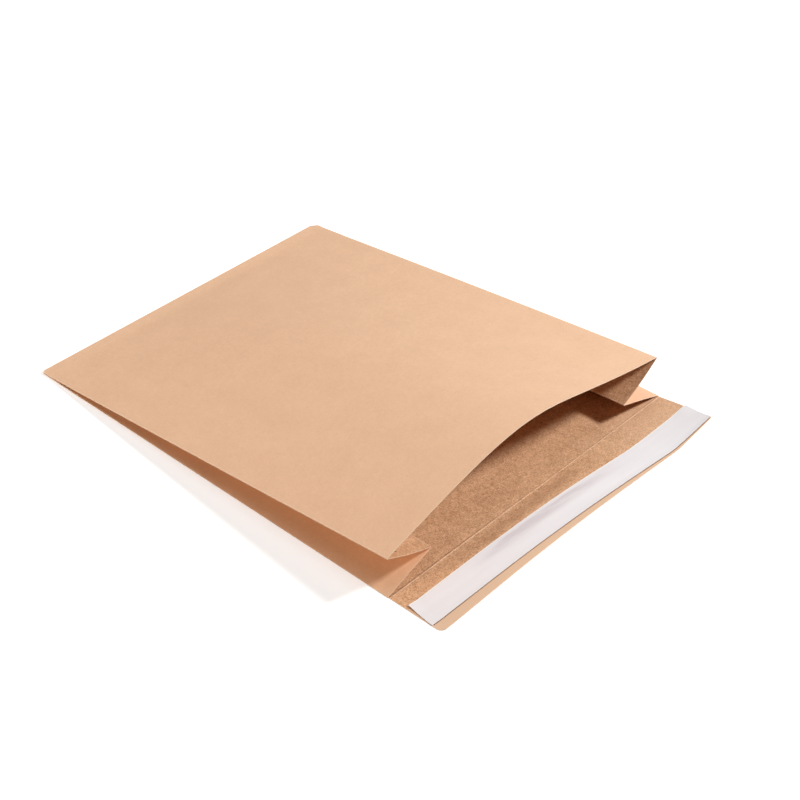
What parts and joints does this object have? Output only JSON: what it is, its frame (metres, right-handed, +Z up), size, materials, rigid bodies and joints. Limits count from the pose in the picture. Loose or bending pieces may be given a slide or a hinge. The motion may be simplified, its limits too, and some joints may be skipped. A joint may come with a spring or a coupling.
{
  "type": "gusseted paper mailer",
  "caption": "Kraft paper mailer with folded side gussets, a glued flat end, an open arched mouth and a scored flap that carries an adhesive strip under a release liner.",
  "frame": {"origin": "on the floor, under the centre of the bounding box", "axes": "+Z up, +Y towards the glued end and -Y towards the mouth and flap, X across the width"},
  "size_m": [0.32, 0.4536, 0.065],
  "materials": {
    "kraft_paper": "matt uncoated kraft paper, smoother outside and rougher and darker inside",
    "adhesive": "thin pale double-sided tape",
    "liner_paper": "smooth, faintly pinkish white silicone paper with a low sheen"
  },
  "bodies": {
    "root": {"envelope_body": "kraft_paper", "adhesive_strip": "adhesive", "release_liner": "liner_paper"}
  },
  "joints": []
}
